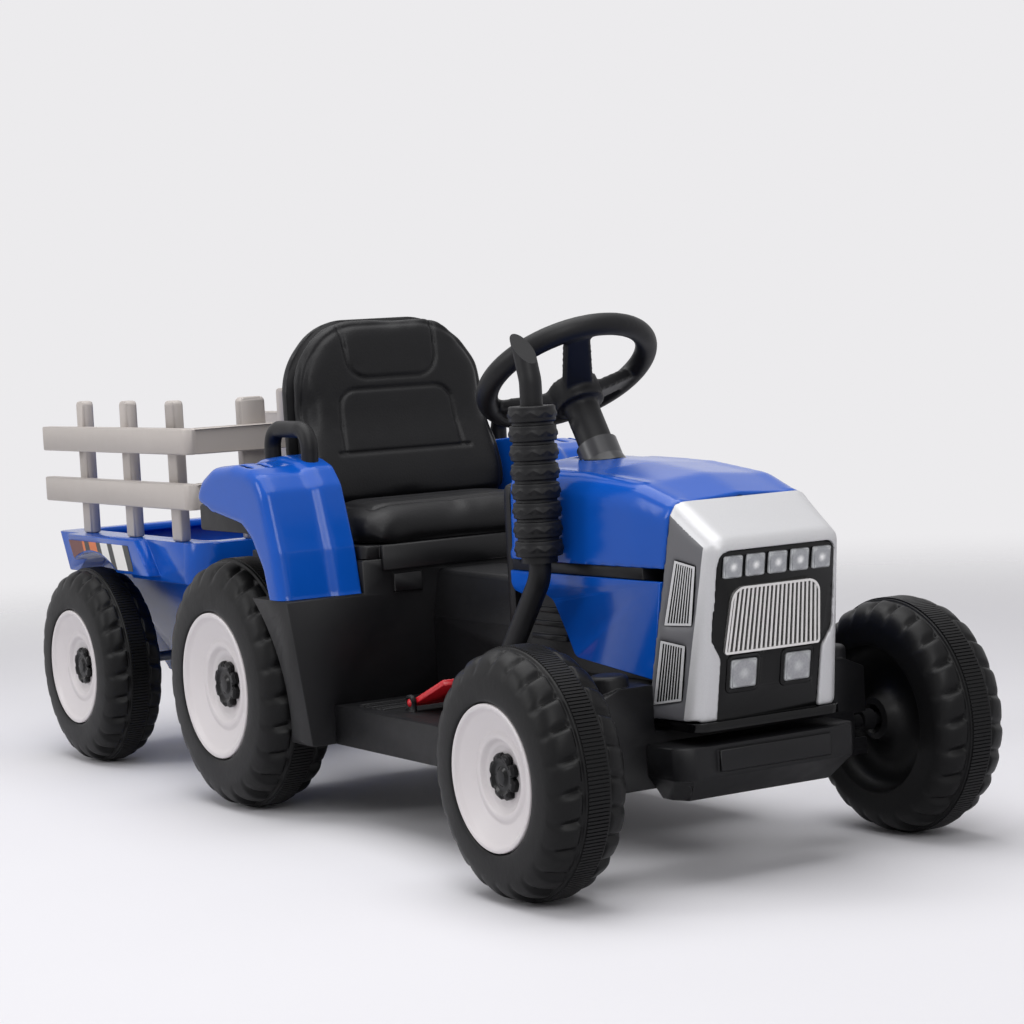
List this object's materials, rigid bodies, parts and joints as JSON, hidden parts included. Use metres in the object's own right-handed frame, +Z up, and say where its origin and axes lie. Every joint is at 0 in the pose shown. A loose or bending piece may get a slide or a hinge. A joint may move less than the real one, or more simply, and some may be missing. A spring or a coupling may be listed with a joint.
{
  "type": "ride-on tractor toy",
  "caption": "Battery ride-on tractor for a child: moulded bonnet and fenders, lugged tyres, padded seat, steered front wheels and a fenced trailer on a pin hitch.",
  "frame": {"origin": "on the floor, in the middle of the whole length and width", "axes": "+X points forward, +Y to the driver's left, +Z up"},
  "size_m": [1.328, 0.504, 0.5187],
  "materials": {
    "blue_gloss_plastic": "gloss",
    "black_satin_plastic": "satin",
    "black_gloss_plastic": "gloss",
    "silver_paint": "satin",
    "chrome_plating": "gloss",
    "lamp_plastic": "gloss",
    "tyre_plastic": "satin",
    "rim_grey_plastic": "satin",
    "fence_grey_plastic": "satin",
    "red_plastic": "satin",
    "seat_leatherette": "satin",
    "steel_plated": "satin",
    "motor_steel": "satin"
  },
  "bodies": {
    "tractor": {"front_axle_beam": "black_satin_plastic", "column_collar": "black_satin_plastic", "bonnet": "blue_gloss_plastic", "bay_frame": "black_satin_plastic", "side_panels": "blue_gloss_plastic", "nose_shell": "silver_paint", "grille_panel": "black_gloss_plastic", "radiator_grille": "chrome_plating", "lamp_lenses": "lamp_plastic", "side_grilles": "silver_paint", "front_bumper": "black_satin_plastic", "floor_pan": "black_satin_plastic", "centre_tunnel": "black_satin_plastic", "dash_panel": "black_satin_plastic", "exhaust_pipe": "black_satin_plastic", "exhaust_sleeve": "black_satin_plastic", "rear_body": "black_satin_plastic", "rear_fender_right": "blue_gloss_plastic", "rear_fender_left": "blue_gloss_plastic", "grab_handles": "black_satin_plastic", "seat_shell": "black_satin_plastic", "seat_back_pad": "seat_leatherette", "seat_cushion": "seat_leatherette", "rear_axle": "steel_plated", "gearboxes": "black_satin_plastic", "drive_motors": "motor_steel", "battery": "black_satin_plastic", "control_box": "black_satin_plastic", "hitch_bracket": "steel_plated"},
    "steering": {"steering_wheel": "black_satin_plastic", "steering_shaft": "steel_plated"},
    "knuckle_right_body": {"knuckle_right": "black_satin_plastic"},
    "knuckle_left_body": {"knuckle_left": "black_satin_plastic"},
    "tie_rod_body": {"tie_rod": "steel_plated"},
    "pedal_body": {"foot_pedal": "red_plastic"},
    "button_body": {"start_button": "red_plastic"},
    "rocker_body": {"direction_rocker": "black_gloss_plastic"},
    "trailer": {"trailer_tray": "blue_gloss_plastic", "trailer_axle": "steel_plated", "trailer_drawbar": "black_satin_plastic", "trailer_rails": "fence_grey_plastic", "trailer_posts": "fence_grey_plastic"},
    "front_right_wheel": {"front_right_tyre": "tyre_plastic", "front_right_rim": "rim_grey_plastic", "front_right_hub_cap": "black_gloss_plastic"},
    "front_left_wheel": {"front_left_tyre": "tyre_plastic", "front_left_rim": "rim_grey_plastic", "front_left_hub_cap": "black_gloss_plastic"},
    "rear_right_wheel": {"rear_right_tyre": "tyre_plastic", "rear_right_rim": "rim_grey_plastic", "rear_right_hub_cap": "black_gloss_plastic"},
    "rear_left_wheel": {"rear_left_tyre": "tyre_plastic", "rear_left_rim": "rim_grey_plastic", "rear_left_hub_cap": "black_gloss_plastic"},
    "trailer_right_wheel": {"trailer_right_tyre": "tyre_plastic", "trailer_right_rim": "rim_grey_plastic", "trailer_right_hub_cap": "black_gloss_plastic"},
    "trailer_left_wheel": {"trailer_left_tyre": "tyre_plastic", "trailer_left_rim": "rim_grey_plastic", "trailer_left_hub_cap": "black_gloss_plastic"}
  },
  "joints": [
    {"name": "steering_turn", "type": "hinge", "parent": "tractor", "child": "steering", "pos_m": [0.315, 0, 0.459], "axis": [-0.5446, 0, 0.8387], "range_deg": [-40, 40]},
    {"name": "knuckle_right_turn", "type": "hinge", "parent": "tractor", "child": "knuckle_right_body", "pos_m": [0.551, -0.123, 0.113], "axis": [0, 0, 1], "range_deg": [-24, 24]},
    {"name": "knuckle_left_turn", "type": "hinge", "parent": "tractor", "child": "knuckle_left_body", "pos_m": [0.551, 0.123, 0.113], "axis": [0, 0, 1], "range_deg": [-24, 24]},
    {"name": "tie_rod_shift", "type": "slide", "parent": "tractor", "child": "tie_rod_body", "axis": [0, 1, 0], "range_m": [-0.0165, 0.0165]},
    {"name": "front_right_roll", "type": "hinge", "parent": "knuckle_right_body", "child": "front_right_wheel", "pos_m": [0.551, -0.212, 0.113], "axis": [0, 1, 0], "continuous": true},
    {"name": "front_left_roll", "type": "hinge", "parent": "knuckle_left_body", "child": "front_left_wheel", "pos_m": [0.551, 0.212, 0.113], "axis": [0, 1, 0], "continuous": true},
    {"name": "rear_right_roll", "type": "hinge", "parent": "tractor", "child": "rear_right_wheel", "pos_m": [-0.076, -0.174, 0.135], "axis": [0, 1, 0], "continuous": true},
    {"name": "rear_left_roll", "type": "hinge", "parent": "tractor", "child": "rear_left_wheel", "pos_m": [-0.076, 0.174, 0.135], "axis": [0, 1, 0], "continuous": true},
    {"name": "trailer_right_roll", "type": "hinge", "parent": "trailer", "child": "trailer_right_wheel", "pos_m": [-0.511, -0.163, 0.118], "axis": [0, 1, 0], "continuous": true},
    {"name": "trailer_left_roll", "type": "hinge", "parent": "trailer", "child": "trailer_left_wheel", "pos_m": [-0.511, 0.163, 0.118], "axis": [0, 1, 0], "continuous": true},
    {"name": "trailer_hitch", "type": "hinge", "parent": "tractor", "child": "trailer", "pos_m": [-0.18, 0, 0.108], "axis": [0, 0, 1], "range_deg": [-20, 20]},
    {"name": "foot_pedal_press", "type": "hinge", "parent": "tractor", "child": "pedal_body", "pos_m": [0.212, -0.112, 0.134], "axis": [0, 1, 0], "range_deg": [0, 12], "stiffness_Nm_per_rad": 1.5, "springref_deg": -11.46},
    {"name": "start_button_press", "type": "slide", "parent": "tractor", "child": "button_body", "axis": [1, 0, 0], "range_m": [0, 0.003], "stiffness_N_per_m": 200, "springref_m": -0.002},
    {"name": "direction_rocker_tip", "type": "hinge", "parent": "tractor", "child": "rocker_body", "pos_m": [0.3375, -0.04, 0.312], "axis": [0, 1, 0], "range_deg": [-8, 8]}
  ],
  "couplings": [
    {"joint": "knuckle_right_turn", "follows": "steering_turn", "ratio": 0.6},
    {"joint": "knuckle_left_turn", "follows": "steering_turn", "ratio": 0.6},
    {"joint": "tie_rod_shift", "follows": "steering_turn", "m_per_rad": -0.02349}
  ]
}
